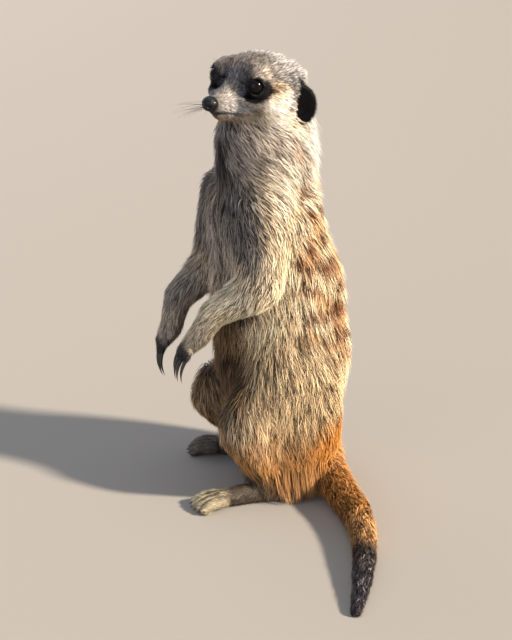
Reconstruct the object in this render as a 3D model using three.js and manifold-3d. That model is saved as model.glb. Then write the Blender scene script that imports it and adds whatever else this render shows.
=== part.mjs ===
// A meerkat, life size, sitting up on its haunches with its head turned to its left.
// Millimetres: +X is the animal's left, -Y the way its hips face, +Z up, and the floor is Z = 0.
// Every part of the body is a field, which gives the distance to that part's surface. The fields
// are blended into one body, and the body is parted where the next part comes nearer.
import * as THREE from "three";
import { mergeVertices } from "three/addons/utils/BufferGeometryUtils.js";
import Module from "manifold-3d";

const wasm = await Module();
wasm.setup();

const v = (x, y, z) => new THREE.Vector3(x, y, z);
const radians = THREE.MathUtils.degToRad;

const FLOOR = 0;
const EYE = { place: v(14.8, -21.5, 6), radius: 6.1 }; // the left one, in the head's frame
// The ear is a small cupped plate, swept back from the side of the head and open to the front.
const EAR = { root: v(25, 10.8, -10.5), sweep: 37, width: 23, height: 27, thickness: 4.4, cup: 3 };
const DIGITS = [-1.5, -0.5, 0.5, 1.5]; // the four toes, from the middle of the paw out
const FINGER = { apart: 3.7, reach: 16.5, radius: 2.7 };
const FORE_CLAW = { length: 20, radius: 1.6, bend: 55, drop: 8, sunk: 2.5 };
const HIND_FOOT_LENGTH = 74;
const TOE = { apart: 4.6, length: 15, radius: 4.1 };
const HIND_CLAW = { length: 8, radius: 1.4, bend: 30, drop: 0, sunk: 2 };
const HEEL_SHARE = 5; // how much further the foot reaches into the haunch above its heel
const PARTING = 0.11; // half of the thin cut between two parts, as a share of a facet
const SOCKET_GAP = 0.35; // round each eye, ear and claw and the nose

// ---------------------------------------------------------------- fields

// A field with the box that holds it. `rank` settles which part a point belongs to.
const field = (at, box, rank = at) => ({ at, box, rank });

function boxAround(centre, reach) {
  return new THREE.Box3(centre.clone().addScalar(-reach), centre.clone().addScalar(reach));
}

// turn holds the angles about X, Y and Z, in degrees.
function ellipsoid(centre, [rx, ry, rz], turn = [0, 0, 0]) {
  const radii = v(rx, ry, rz);
  const unturn = new THREE.Quaternion()
    .setFromEuler(new THREE.Euler(...turn.map(radians)))
    .invert();
  const local = v(0, 0, 0);
  const at = (p) => {
    local.copy(p).sub(centre).applyQuaternion(unturn).divide(radii);
    const reach = local.length();
    const slope = local.divide(radii).length();
    return slope < 1e-6 ? -Math.min(rx, ry, rz) : (reach * (reach - 1)) / slope;
  };
  return field(at, boxAround(centre, Math.max(rx, ry, rz)));
}

// Round lengths from point to point, each end with its own radius. A point past either end
// ranks lower, so that two limbs that share a joint are parted square across it.
function limb(points, sizes) {
  const local = v(0, 0, 0);
  const spans = points.slice(1).map((end, i) => {
    const along = end.clone().sub(points[i]);
    return { start: points[i], along, length: along.length(), from: sizes[i], to: sizes[i + 1] };
  });
  const share = (p, { start, along, length }) =>
    local.copy(p).sub(start).dot(along) / (length * length);
  const at = (p) =>
    Math.min(
      ...spans.map((span) => {
        const t = THREE.MathUtils.clamp(share(p, span), 0, 1);
        const size = THREE.MathUtils.lerp(span.from, span.to, t);
        return local.copy(span.along).multiplyScalar(-t).add(p).sub(span.start).length() - size;
      }),
    );
  const first = spans[0];
  const last = spans.at(-1);
  const rank = (p) => {
    const before = Math.max(0, -share(p, first)) * first.length;
    const after = Math.max(0, share(p, last) - 1) * last.length;
    return at(p) + 0.5 * (before + after);
  };
  const box = new THREE.Box3();
  points.forEach((point, i) => box.union(boxAround(point, sizes[i])));
  return field(at, box, rank);
}

function softMin(a, b, reach) {
  const near = Math.max(reach - Math.abs(a - b), 0) / reach;
  return Math.min(a, b) - near * near * reach * 0.25;
}

function blend(reach, ...fields) {
  const mix = (key) => (p) => fields.map((f) => f[key](p)).reduce((a, b) => softMin(a, b, reach));
  const box = fields.reduce((sum, f) => sum.union(f.box), new THREE.Box3());
  return field(mix("at"), box, mix("rank"));
}

// The left-hand field together with its mirror image in the plane X = 0.
function bothSides(f) {
  const folded = v(0, 0, 0);
  const mirror = f.box.clone();
  mirror.min.x = -f.box.max.x;
  return field((p) => f.at(folded.set(Math.abs(p.x), p.y, p.z)), mirror);
}

function carve(f, ...hollows) {
  const at = (p) => hollows.reduce((d, hollow) => Math.max(d, -hollow.at(p)), f.at(p));
  return field(at, f.box);
}

// The same field, which takes more of what it shares with its neighbours.
function favour(f, by) {
  return { ...f, rank: (p) => f.rank(p) - by };
}

function grow(f, by) {
  return field((p) => f.at(p) - by, f.box.clone().expandByScalar(by));
}

// A frame of its own for a head or a paw: X left, -Y forward and Z up.
function frame(origin, { yaw = 0, pitch = 0, roll = 0 }, parent) {
  const made = new THREE.Object3D();
  made.position.copy(origin);
  made.rotation.set(radians(pitch), radians(roll), radians(yaw), "ZXY");
  parent?.add(made);
  made.updateWorldMatrix(true, false);
  return made;
}

function inFrame(place, f) {
  const back = place.matrixWorld.clone().invert();
  const local = v(0, 0, 0);
  const moved = (at) => (p) => at(local.copy(p).applyMatrix4(back));
  return field(moved(f.at), f.box.clone().applyMatrix4(place.matrixWorld), moved(f.rank));
}

// ---------------------------------------------------------------- meshing

const SLOPE_STEP = 0.05;
const CORNERS = [0, 1, 2, 3, 4, 5, 6, 7].map((i) => [i & 1, (i >> 1) & 1, (i >> 2) & 1]);
const CUBE_EDGES = CORNERS.flatMap((a, i) =>
  CORNERS.map((b, j) => [i, j, a.reduce((sum, n, k) => sum + Math.abs(n - b[k]), 0)])
    .filter(([from, to, apart]) => from < to && apart === 1)
    .map(([from, to]) => [from, to]),
);

const CUBE_FACES = [0, 1, 2].flatMap((axis) =>
  [0, 1].map((side) => CORNERS.flatMap((corner, i) => (corner[axis] === side ? [i] : []))),
);

function inOnePiece(corners) {
  const reached = new Set(corners.slice(0, 1));
  for (let pass = 0; pass < corners.length; pass++)
    for (const [a, b] of CUBE_EDGES)
      if (corners.includes(a) && corners.includes(b) && (reached.has(a) || reached.has(b))) reached.add(a).add(b);
  return reached.size === corners.length;
}

// Corners that meet only across a diagonal would pinch the surface together, so the shallowest
// of them is let go. `cube` holds the places of eight corners in the grid.
function unpinch(grid, cube) {
  const inside = (i) => grid[cube[i]] < 0;
  const pinched = [[0, 1, 2, 3, 4, 5, 6, 7], ...CUBE_FACES].find(
    (corners) => !inOnePiece(corners.filter(inside)) || !inOnePiece(corners.filter((i) => !inside(i))),
  );
  if (!pinched) return false;
  const shallowest = pinched.filter(inside).reduce((a, b) => (grid[cube[a]] > grid[cube[b]] ? a : b));
  grid[cube[shallowest]] = 1e-3;
  return true;
}

// The slope of a field at p, from one short step along each axis.
function slopeAt(at, p, here) {
  const slope = v(0, 0, 0);
  for (const axis of ["x", "y", "z"]) {
    p[axis] += SLOPE_STEP;
    slope[axis] = (at(p) - here) / SLOPE_STEP;
    p[axis] -= SLOPE_STEP;
  }
  return slope;
}

// Moves p onto the surface of one wall, straight down its slope.
function settle(p, wall) {
  const here = wall(p);
  const slope = slopeAt(wall, p, here);
  const steep = slope.lengthSq();
  if (steep > 1e-3) p.addScaledVector(slope, -here / steep);
}

// The closed surface that all the walls bound, by surface nets: one vertex in each cube that
// the surface crosses, drawn onto every wall that it meets there, so that rims stay sharp.
function surface(walls, box, step) {
  const value = (p) => Math.max(...walls.map((wall) => wall(p)));
  const start = box.min.clone().divideScalar(step).floor().subScalar(1).multiplyScalar(step);
  start.z -= step / 2; // the floor lies half way up a layer of cubes
  const size = box.max.clone().sub(start).addScalar(1.5 * step).divideScalar(step).ceil();
  const [nx, ny, nz] = [size.x + 1, size.y + 1, size.z + 1];
  const node = (i, j, k) => i + nx * (j + ny * k);
  const spot = (i, j, k) => v(i, j, k).multiplyScalar(step).add(start);
  const grid = new Float64Array(nx * ny * nz);
  for (let k = 0; k < nz; k++)
    for (let j = 0; j < ny; j++) for (let i = 0; i < nx; i++) grid[node(i, j, k)] = value(spot(i, j, k));

  const cubes = [];
  for (let k = 0; k < nz - 1; k++)
    for (let j = 0; j < ny - 1; j++)
      for (let i = 0; i < nx - 1; i++) {
        const cube = CORNERS.map(([a, b, c]) => node(i + a, j + b, k + c));
        const inside = cube.filter((n) => grid[n] < 0).length;
        if (inside > 0 && inside < 8) cubes.push(cube);
      }
  while (cubes.filter((cube) => unpinch(grid, cube)).length);

  const vertices = [];
  const vertexOf = new Map();
  for (let k = 0; k < nz - 1; k++)
    for (let j = 0; j < ny - 1; j++)
      for (let i = 0; i < nx - 1; i++) {
        const held = CORNERS.map(([a, b, c]) => grid[node(i + a, j + b, k + c)]);
        const crossed = CUBE_EDGES.filter(([a, b]) => held[a] < 0 !== held[b] < 0);
        if (!crossed.length) continue;
        const met = new Set();
        const middle = v(0, 0, 0);
        for (const [a, b] of crossed) {
          const t = held[a] / (held[a] - held[b]);
          const cut = v(...CORNERS[a]).lerp(v(...CORNERS[b]), t).add(v(i, j, k));
          cut.multiplyScalar(step).add(start);
          met.add(walls.reduce((best, wall) => (wall(cut) > best(cut) ? wall : best)));
          middle.addScaledVector(cut, 1 / crossed.length);
        }
        for (let pass = 0; pass < 4; pass++) met.forEach((wall) => settle(middle, wall));
        const inset = v(1, 1, 1).multiplyScalar(0.06 * step);
        middle.clamp(spot(i, j, k).add(inset), spot(i + 1, j + 1, k + 1).sub(inset));
        vertexOf.set(node(i, j, k), vertices.length / 3);
        vertices.push(middle.x, middle.y, middle.z < FLOOR + 0.02 ? FLOOR : middle.z);
      }

  const faces = [];
  const steps = [
    [1, 0, 0],
    [0, 1, 0],
    [0, 0, 1],
  ];
  const point = (n) => v(...vertices.slice(3 * n, 3 * n + 3));
  const face = (a, b, c, d) => {
    const [pa, pb, pc, pd] = [a, b, c, d].map(point);
    const split = pa.distanceTo(pc) < pb.distanceTo(pd) ? [a, b, c, a, c, d] : [a, b, d, b, c, d];
    faces.push(...split);
  };
  for (let k = 1; k < nz - 1; k++)
    for (let j = 1; j < ny - 1; j++)
      for (let i = 1; i < nx - 1; i++)
        steps.forEach((ahead, axis) => {
          const here = grid[node(i, j, k)] < 0;
          const there = grid[node(i + ahead[0], j + ahead[1], k + ahead[2])] < 0;
          if (here === there) return;
          const u = steps[(axis + 1) % 3];
          const w = steps[(axis + 2) % 3];
          const ring = [[0, 0], [1, 0], [1, 1], [0, 1]].map(([a, b]) =>
            vertexOf.get(node(i - a * u[0] - b * w[0], j - a * u[1] - b * w[1], k - a * u[2] - b * w[2])),
          );
          face(...(here ? ring : ring.reverse()));
        });
  return new THREE.BufferGeometry()
    .setAttribute("position", new THREE.Float32BufferAttribute(vertices, 3))
    .setIndex(largestPiece(faces));
}

// Of faces that make several closed bodies, the ones of the body with the most faces.
function largestPiece(faces) {
  const joined = [];
  const root = (i) => {
    while (joined[i] !== i) i = joined[i] = joined[joined[i]];
    return i;
  };
  const owner = new Map();
  for (let i = 0; i < faces.length; i++) {
    const face = Math.floor(i / 3);
    if (i % 3 === 0) joined.push(face);
    const next = faces[3 * face + ((i + 1) % 3)];
    const edge = `${Math.min(faces[i], next)} ${Math.max(faces[i], next)}`;
    if (owner.has(edge)) joined[root(face)] = root(owner.get(edge));
    owner.set(edge, face);
  }
  const sizes = new Map();
  joined.forEach((_, face) => sizes.set(root(face), (sizes.get(root(face)) ?? 0) + 1));
  const [largest] = [...sizes].reduce((best, entry) => (entry[1] > best[1] ? entry : best));
  return faces.filter((_, i) => root(Math.floor(i / 3)) === largest);
}

function toSolid(geometry) {
  const bare = geometry.clone();
  bare.deleteAttribute("normal");
  bare.deleteAttribute("uv");
  const merged = mergeVertices(bare, 1e-4);
  const { array } = merged.attributes.position;
  const mesh = new wasm.Mesh({
    numProp: 3,
    vertProperties: new Float32Array(array),
    triVerts: new Uint32Array(merged.index.array),
  });
  return new wasm.Manifold(mesh);
}

function toGeometry(solid) {
  const { vertProperties, triVerts } = solid.getMesh();
  return new THREE.BufferGeometry()
    .setAttribute("position", new THREE.BufferAttribute(vertProperties, 3))
    .setIndex(new THREE.BufferAttribute(triVerts, 1));
}

// ---------------------------------------------------------------- trunk and neck

// The spine leans back a little from the rump to the loins and then forward to the shoulders.
const trunk = blend(
  24,
  ellipsoid(v(0, 4, 45), [41, 34, 46]),
  ellipsoid(v(0, 2, 90), [39, 45, 44]),
  ellipsoid(v(0, -2, 136), [36, 44.5, 44]),
  ellipsoid(v(1, -10, 184), [34, 38, 36], [0, 0, 14]),
);
const neck = blend(
  10,
  ellipsoid(v(2, -10, 222), [28, 32.5, 36], [4, 0, 14]),
  ellipsoid(v(1, -11, 243), [25, 32, 24], [0, 0, 20]),
);

// ---------------------------------------------------------------- head

const headPlace = frame(v(2, -13.9, 275), { yaw: 43, pitch: 0, roll: 4 });
const orbit = bothSides(ellipsoid(v(15, -28, 5.5), [8.5, 6, 6.8]));
const skull = blend(
  7,
  ellipsoid(v(0, 1.5, -1), [25, 28, 19], [5, 0, 0]),
  ellipsoid(v(0, -12, 1), [19.5, 16, 18]),
  limb([v(0, -16, -6), v(0, -34, -6.5), v(0, -43, -6)], [12.5, 8.5, 5.8]),
  limb([v(0, 4, -13), v(0, -20, -12), v(0, -36, -12)], [15, 9.5, 4.6]),
  bothSides(ellipsoid(v(13, 0, -12), [13, 20, 14])),
  bothSides(ellipsoid(v(12, -16, 11), [9, 9, 6])),
  bothSides(ellipsoid(v(12, -21, -4), [9, 10, 7])),
  bothSides(ellipsoid(v(15, 11, 3), [12, 14, 10])),
);
const head = inFrame(headPlace, { ...carve(skull, orbit), rank: skull.rank });

function earPlate(place, spare) {
  const plate = new THREE.SphereGeometry(1, 16, 8);
  const spots = plate.attributes.position;
  for (let i = 0; i < spots.count; i++) {
    const [x, y, z] = [spots.getX(i), spots.getY(i), spots.getZ(i)];
    spots.setXYZ(
      i,
      x * (EAR.width / 2 + spare),
      y * (EAR.thickness / 2 + spare) + EAR.cup * (1 - x * x - z * z),
      z * (EAR.height / 2 + spare),
    );
  }
  return plate.applyMatrix4(place.matrixWorld);
}

// The nose leather: a blunt pad with a nostril on each side.
const nose = carve(
  ellipsoid(v(0, -47.5, -3.6), [5.6, 5, 5]),
  bothSides(ellipsoid(v(3, -52.2, -4), [1.5, 1.9, 1.2])),
);

// ---------------------------------------------------------------- forelegs

const ARMS = {
  left: {
    shoulder: v(24.5, -15, 196),
    elbow: v(41, -18, 150),
    middle: v(35, -47, 132),
    wrist: v(28, -57.5, 112),
    hand: { yaw: 6, pitch: 42, roll: 8 },
  },
  right: {
    shoulder: v(-21.5, -30, 196),
    elbow: v(-35, -39, 140),
    middle: v(-27, -63, 121),
    wrist: v(-18, -69.5, 101.5),
    hand: { yaw: 6, pitch: 56, roll: -6 },
  },
};

function armParts({ shoulder, elbow, middle, wrist, hand }) {
  const place = frame(wrist, hand);
  const tips = DIGITS.map((n) => v(n * FINGER.apart * 1.25, 1.6 * Math.abs(n) - FINGER.reach, -1.5));
  const fingers = tips.map((tip, i) =>
    limb([v(DIGITS[i] * FINGER.apart, -9, 0), tip], [FINGER.radius + 0.5, FINGER.radius]),
  );
  const palm = limb([v(0, 0, 0), v(0, -8, 0)], [7.2, 6.2]);
  return {
    place,
    tips,
    upper: limb([shoulder, elbow], [19, 14.5]),
    fore: limb([elbow.clone().lerp(middle, 0.25), middle, wrist], [13, 9.8, 6.6]),
    paw: inFrame(place, blend(2, palm, ...fingers)),
  };
}

// ---------------------------------------------------------------- hind legs

const LEGS = {
  left: { side: 1, knee: v(39, -29, 60), ankle: v(34, -8, 15), heel: v(33, -1, 8), splay: 15 },
  right: { side: -1, knee: v(-38, -38, 55), ankle: v(-34, -8, 15), heel: v(-31, 7, 8), splay: -17 },
};

function legParts({ side, knee, ankle, heel, splay }) {
  const place = frame(heel, { yaw: splay });
  const ball = 8 - HIND_FOOT_LENGTH + TOE.length;
  const tips = DIGITS.map((n) => v(n * TOE.apart * 1.2, ball - TOE.length + 5 + 1.5 * Math.abs(n), -4.4));
  const toes = tips.map((tip, i) =>
    limb([v(DIGITS[i] * TOE.apart * 0.8, ball + 4, -2.6), tip], [TOE.radius + 0.6, TOE.radius]),
  );
  const sole = limb([v(0, 0, 0), v(0, ball * 0.5, -1.2), v(0, ball + 6, -2)], [8.6, 7.2, 6.6]);
  return {
    place,
    tips,
    thigh: blend(
      14,
      ellipsoid(v(side * 31, 2, 55), [21, 36, 54]),
      ellipsoid(v(knee.x, knee.y + 4, knee.z - 2), [15, 18, 22]),
    ),
    shank: limb([v(knee.x, knee.y, knee.z - 12), ankle], [15, 13]),
    foot: favour(inFrame(place, blend(3, sole, ...toes)), HEEL_SHARE),
  };
}

// ---------------------------------------------------------------- tail

// The tail leaves the rump along the floor, swings to the animal's left and narrows to its tip.
const TAIL_PATH = [
  [v(4, 26, 17), 15],
  [v(26, 29, 13), 12.8],
  [v(54, 34, 10.6), 10.8],
  [v(80, 38, 9.4), 9.6],
  [v(106, 38.5, 8.5), 8.7],
  [v(129, 36, 7.5), 7.7],
  [v(153, 31.5, 6.4), 6.6],
  [v(178, 26, 5), 5.3],
  [v(199, 20, 3.4), 3.7],
  [v(213, 16, 2.1), 2.4],
];
function tailLength(first, last) {
  const stretch = TAIL_PATH.slice(first, last + 1);
  return limb(
    stretch.map(([point]) => point),
    stretch.map(([, size]) => size),
  );
}

// ---------------------------------------------------------------- the body, blended and parted

const COAT = {
  buff: new THREE.MeshStandardMaterial({ color: 0xc4ab84, roughness: 0.9, metalness: 0 }),
  pale: new THREE.MeshStandardMaterial({ color: 0xd8c9ae, roughness: 0.9, metalness: 0 }),
  rust: new THREE.MeshStandardMaterial({ color: 0xa8682f, roughness: 0.9, metalness: 0 }),
  black: new THREE.MeshStandardMaterial({ color: 0x2b2420, roughness: 0.9, metalness: 0 }),
};
const HORN = new THREE.MeshStandardMaterial({ color: 0x2a2726, roughness: 0.4, metalness: 0 });
const LEATHER = new THREE.MeshStandardMaterial({ color: 0x1d1a1b, roughness: 0.35, metalness: 0 });
const CORNEA = new THREE.MeshStandardMaterial({ color: 0x17110c, roughness: 0.08, metalness: 0 });

const arms = { left: armParts(ARMS.left), right: armParts(ARMS.right) };
const legs = { left: legParts(LEGS.left), right: legParts(LEGS.right) };

// reach is how far a part's surface flows into its neighbours', and step the size of its facets.
const bodyParts = [
  { name: "trunk", own: trunk, reach: 1, step: 10.5, coat: COAT.buff },
  { name: "neck", own: neck, reach: 14, step: 9, coat: COAT.pale },
  { name: "head", own: head, reach: 8, step: 5.6, coat: COAT.pale },
];
for (const side of ["left", "right"]) {
  const arm = arms[side];
  const leg = legs[side];
  bodyParts.push(
    { name: `thigh_${side}`, own: leg.thigh, reach: 12, step: 7, coat: COAT.buff },
    { name: `shank_${side}`, own: leg.shank, reach: 8, step: 6, coat: COAT.buff },
    { name: `hind_foot_${side}`, own: leg.foot, reach: 4, step: 5.4, coat: COAT.pale },
    { name: `upper_arm_${side}`, own: arm.upper, reach: 14, step: 9, coat: COAT.buff },
    { name: `forearm_${side}`, own: arm.fore, reach: 4, step: 7, coat: COAT.pale },
    { name: `forepaw_${side}`, own: arm.paw, reach: 2, step: 3.8, coat: COAT.pale },
  );
}
bodyParts.push(
  { name: "tail_base", own: tailLength(0, 3), reach: 8, step: 9, coat: COAT.rust },
  { name: "tail_middle", own: tailLength(3, 6), reach: 2, step: 7, coat: COAT.rust },
  { name: "tail_tip", own: tailLength(6, 9), reach: 2, step: 4.2, coat: COAT.black },
);

const body = (p) => bodyParts.reduce((d, part) => softMin(d, part.own.at(p), part.reach), 1e3);

// The wall where another part comes nearer, set back by the same distance all over it.
function nearerThan(part) {
  const others = bodyParts.filter((other) => other !== part);
  const lead = (p) => part.own.rank(p) - Math.min(...others.map((other) => other.own.rank(p)));
  return (p) => {
    const here = lead(p);
    if (Math.abs(here) > 2 * part.step) return here;
    return here / Math.max(slopeAt(lead, p, here).length(), 0.3) + PARTING * part.step;
  };
}

const solids = new Map();
for (const part of bodyParts) {
  const walls = [body, nearerThan(part), (p) => FLOOR - p.z];
  const made = toSolid(surface(walls, part.own.box.clone().expandByScalar(5), part.step));
  solids.set(part.name, { solid: made, material: part.coat });
}

// ---------------------------------------------------------------- what is set into the body

// Sets a piece into its hosts, with a socket that is wider all round by the gap.
function setInto(hosts, name, piece, socket, material) {
  for (const host of hosts.map((key) => solids.get(key))) {
    host.solid = host.solid.subtract(toSolid(socket));
  }
  solids.set(name, { solid: toSolid(piece), material });
}

function ball(place, centre, radius) {
  return new THREE.SphereGeometry(radius, 12, 8).translate(...centre).applyMatrix4(place.matrixWorld);
}

// A claw runs forward from its root and curls down. spare widens it for its socket.
function claw(place, tip, { length, radius, bend, drop, sunk }, spare) {
  const rings = 4;
  const profile = [new THREE.Vector2(0, -spare)];
  for (let i = 0; i < rings; i++) {
    const t = i / rings;
    profile.push(new THREE.Vector2(radius * (1 - t ** 1.7) + spare, i ? t * length : -spare));
  }
  profile.push(new THREE.Vector2(0, length));
  const made = new THREE.LatheGeometry(profile, 6);
  const curl = length / radians(bend);
  const spots = made.attributes.position;
  for (let i = 0; i < spots.count; i++) {
    const angle = spots.getY(i) / curl;
    const out = curl + spots.getZ(i);
    spots.setXYZ(i, -0.8 * spots.getX(i), -out * Math.sin(angle), out * Math.cos(angle) - curl);
  }
  const root = frame(tip.clone().add(v(0, sunk, 0)), { pitch: drop }, place);
  made.applyMatrix4(root.matrixWorld);
  place.remove(root);
  return made;
}

function setClaws(host, name, place, tips, shape) {
  tips.forEach((tip, i) => {
    const piece = claw(place, tip, shape, 0);
    const socket = claw(place, tip, shape, SOCKET_GAP);
    setInto([host], `${name}_${i + 1}`, piece, socket, HORN);
  });
}

for (const [side, hand] of [["left", 1], ["right", -1]]) {
  const centre = EYE.place.clone().setX(hand * EYE.place.x);
  const eye = ball(headPlace, centre, EYE.radius);
  setInto(["head"], `eye_${side}`, eye, ball(headPlace, centre, EYE.radius + SOCKET_GAP), CORNEA);

  const root = EAR.root.clone().setX(hand * EAR.root.x);
  const earPlace = frame(root, { yaw: hand * EAR.sweep }, headPlace);
  const [pinna, earSocket] = [0, SOCKET_GAP].map((spare) => earPlate(earPlace, spare));
  setInto(["head", "neck"], `ear_${side}`, pinna, earSocket, COAT.black);

  setClaws(`forepaw_${side}`, `fore_claw_${side}`, arms[side].place, arms[side].tips, FORE_CLAW);
  setClaws(`hind_foot_${side}`, `hind_claw_${side}`, legs[side].place, legs[side].tips, HIND_CLAW);
}
const [pad, padSocket] = [nose, grow(nose, SOCKET_GAP)].map((f) => inFrame(headPlace, f));
setInto(["head"], "nose", surface([pad.at], pad.box, 2.2), surface([padSocket.at], padSocket.box, 2.2), LEATHER);

// ---------------------------------------------------------------- the whole figure

const meerkat = new THREE.Group();
for (const [name, { solid, material }] of solids) {
  const mesh = new THREE.Mesh(toGeometry(solid), material);
  mesh.name = name;
  meerkat.add(mesh);
}

// The origin is on the floor, at the middle of the figure's outline seen from above.
const outline = new THREE.Box3().setFromObject(meerkat);
const middle = outline.getCenter(v(0, 0, 0)).setZ(outline.min.z);
meerkat.children.forEach((mesh) => mesh.geometry.translate(-middle.x, -middle.y, -middle.z));

export default meerkat;
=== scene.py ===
"""The looks of a meerkat figure, life size, sitting up: its skin, eyes, nose, claws, whiskers and coat."""

import bmesh
import bpy
import numpy as np
from mathutils import Matrix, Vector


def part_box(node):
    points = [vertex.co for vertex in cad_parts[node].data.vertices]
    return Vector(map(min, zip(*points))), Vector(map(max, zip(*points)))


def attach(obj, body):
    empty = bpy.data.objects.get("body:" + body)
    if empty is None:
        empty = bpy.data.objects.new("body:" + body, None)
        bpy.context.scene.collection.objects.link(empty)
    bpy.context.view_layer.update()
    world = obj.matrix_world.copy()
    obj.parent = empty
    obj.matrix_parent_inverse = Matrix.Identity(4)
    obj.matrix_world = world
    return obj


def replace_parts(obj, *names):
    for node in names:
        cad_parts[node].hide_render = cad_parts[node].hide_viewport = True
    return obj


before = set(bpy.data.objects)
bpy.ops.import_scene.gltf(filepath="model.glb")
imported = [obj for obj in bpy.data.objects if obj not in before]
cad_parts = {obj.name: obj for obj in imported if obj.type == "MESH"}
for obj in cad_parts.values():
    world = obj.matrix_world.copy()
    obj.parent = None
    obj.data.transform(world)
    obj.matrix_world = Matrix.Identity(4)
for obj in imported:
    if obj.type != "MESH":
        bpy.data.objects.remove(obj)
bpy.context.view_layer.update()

# ---------------- the figure's own frame
# Sizes are in millimetres from the middle of the pelvis, on the floor: +X is the animal's left,
# -Y the way its hips face. The head has a frame of its own, where +X is left and -Y runs to the
# nose. The left eye has a known place in it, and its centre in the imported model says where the
# whole figure stands there.

HEAD_AT = np.array([2, -13.9, 275])
HEAD_TURN, HEAD_ROLL = 43, 4  # degrees
EYE_AT, EYE_RADIUS = np.array([14.8, -21.5, 6]), 6.1


def axes(yaw=0, pitch=0, roll=0):
    """The axes, as columns, of a frame turned about Z, then tipped about X, then rolled about Y."""
    a, b, c = np.radians([yaw, pitch, roll])
    about_z = np.array([[np.cos(a), -np.sin(a), 0], [np.sin(a), np.cos(a), 0], [0, 0, 1]])
    about_x = np.array([[1, 0, 0], [0, np.cos(b), -np.sin(b)], [0, np.sin(b), np.cos(b)]])
    about_y = np.array([[np.cos(c), 0, np.sin(c)], [0, 1, 0], [-np.sin(c), 0, np.cos(c)]])
    return about_z @ about_x @ about_y


HEAD_AXES = axes(HEAD_TURN, 0, HEAD_ROLL)
packed_eye = np.array([500 * (low + high) for low, high in zip(*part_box("eye_left"))])
ORIGIN = HEAD_AT + HEAD_AXES @ EYE_AT - packed_eye


def from_head(q):
    return HEAD_AT + np.asarray(q, float) @ HEAD_AXES.T


def to_head(p):
    return (np.asarray(p, float) - HEAD_AT) @ HEAD_AXES


# ---------------- camera, floor and light
# A long lens from the animal's left, a plain pale floor, and soft light: the key comes from behind
# the back and a little to the left, as a low sun does, and a broad dim fill lights the front.

STAND_OFF, LENS = 2000, 171.76
AIM = np.array([0, -15, 112])
AZIMUTH, ELEVATION = np.radians([82, 21])
KEY_FROM, KEY_POWER, KEY_SPREAD, KEY_COLOUR = (0.44, 0.78, 0.52), 9.6, 5, "#fff0dc"
LAMPS = {  # where, from the aim, in mm; size in m; power in W; colour
    "fill": ((1500, -1300, 700), 2.0, 15, "#e4ecff"),
    "top": ((-200, -100, 1900), 1.4, 8, "#ffffff"),
    "far_side": ((-1700, -600, 600), 1.6, 12, "#eef2ff"),
}
SKY, SKY_STRENGTH = "#dfe6f0", 0.5
FLOOR_SIDE = 60000
SENSOR = 36


def linear(hex_colour):
    """An sRGB hex colour as linear red, green and blue."""
    srgb = np.array([int(hex_colour[i : i + 2], 16) / 255 for i in (1, 3, 5)])
    return np.where(srgb <= 0.04045, srgb / 12.92, ((srgb + 0.055) / 1.055) ** 2.4)


def material(name, **values):
    """A Principled material, its shader and its node tree."""
    made = bpy.data.materials.new(name)
    made.use_nodes = True
    shader = next(n for n in made.node_tree.nodes if n.type == "BSDF_PRINCIPLED")
    for key, value in values.items():
        socket = shader.inputs[key.replace("_", " ")]
        socket.default_value = (*linear(value), 1) if isinstance(value, str) else value
    return made, shader, made.node_tree


def mesh_object(name, points, faces):
    """A mesh object from points in millimetres, in the figure's own frame."""
    mesh = bpy.data.meshes.new(name)
    faces = np.asarray(faces)
    sides = faces.shape[1]
    mesh.vertices.add(len(points))
    mesh.vertices.foreach_set("co", ((np.asarray(points) - ORIGIN) / 1000).astype(np.float32).ravel())
    mesh.loops.add(faces.size)
    mesh.loops.foreach_set("vertex_index", faces.astype(np.int32).ravel())
    mesh.polygons.add(len(faces))
    mesh.polygons.foreach_set("loop_start", np.arange(0, faces.size, sides, dtype=np.int32))
    mesh.polygons.foreach_set("use_smooth", np.full(len(faces), True))
    mesh.update(calc_edges=True)
    made = bpy.data.objects.new(name, mesh)
    bpy.context.collection.objects.link(made)
    return made


def unit(v):
    """The same directions, each one long."""
    return v / np.linalg.norm(v, axis=-1, keepdims=True)


def aimed(name, data, place, aim):
    """Puts a lamp or camera at a place, looking at the aim."""
    back = unit(place - aim)
    side = unit(np.cross([0, 0, 1], back))
    made = bpy.data.objects.new(name, data)
    rows = np.column_stack([side, np.cross(back, side), back, (place - ORIGIN) / 1000])
    made.matrix_world = Matrix([*rows.tolist(), [0, 0, 0, 1]])
    bpy.context.collection.objects.link(made)
    return made


level = np.array([np.sin(AZIMUTH), -np.cos(AZIMUTH), 0])
toward_camera = np.cos(ELEVATION) * level + [0, 0, np.sin(ELEVATION)]
camera = aimed("camera", bpy.data.cameras.new("camera"), AIM + STAND_OFF * toward_camera, AIM)
camera.data.lens, camera.data.sensor_width = LENS, SENSOR
camera.data.clip_start, camera.data.clip_end = 0.1, 40
bpy.context.scene.camera = camera

for name, (place, size, power, colour) in LAMPS.items():
    lamp = bpy.data.lights.new(name, "AREA")
    lamp.size, lamp.energy, lamp.color = size, power, linear(colour)
    aimed(name, lamp, AIM + place, AIM)
sun = bpy.data.lights.new("key", "SUN")
sun.energy, sun.angle, sun.color = KEY_POWER, np.radians(KEY_SPREAD), linear(KEY_COLOUR)
aimed("key", sun, AIM + STAND_OFF * np.array(KEY_FROM), AIM)
world = bpy.data.worlds.new("studio")
world.use_nodes = True
world.node_tree.nodes["Background"].inputs["Color"].default_value = (*linear(SKY), 1)
world.node_tree.nodes["Background"].inputs["Strength"].default_value = SKY_STRENGTH
bpy.context.scene.world = world
bpy.context.scene.view_settings.view_transform = "Standard"

corner = FLOOR_SIDE / 2
square = [(-corner, -corner, 0), (corner, -corner, 0), (corner, corner, 0), (-corner, corner, 0)]
floor = mesh_object("studio_floor", square, [(0, 1, 2, 3)])
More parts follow.
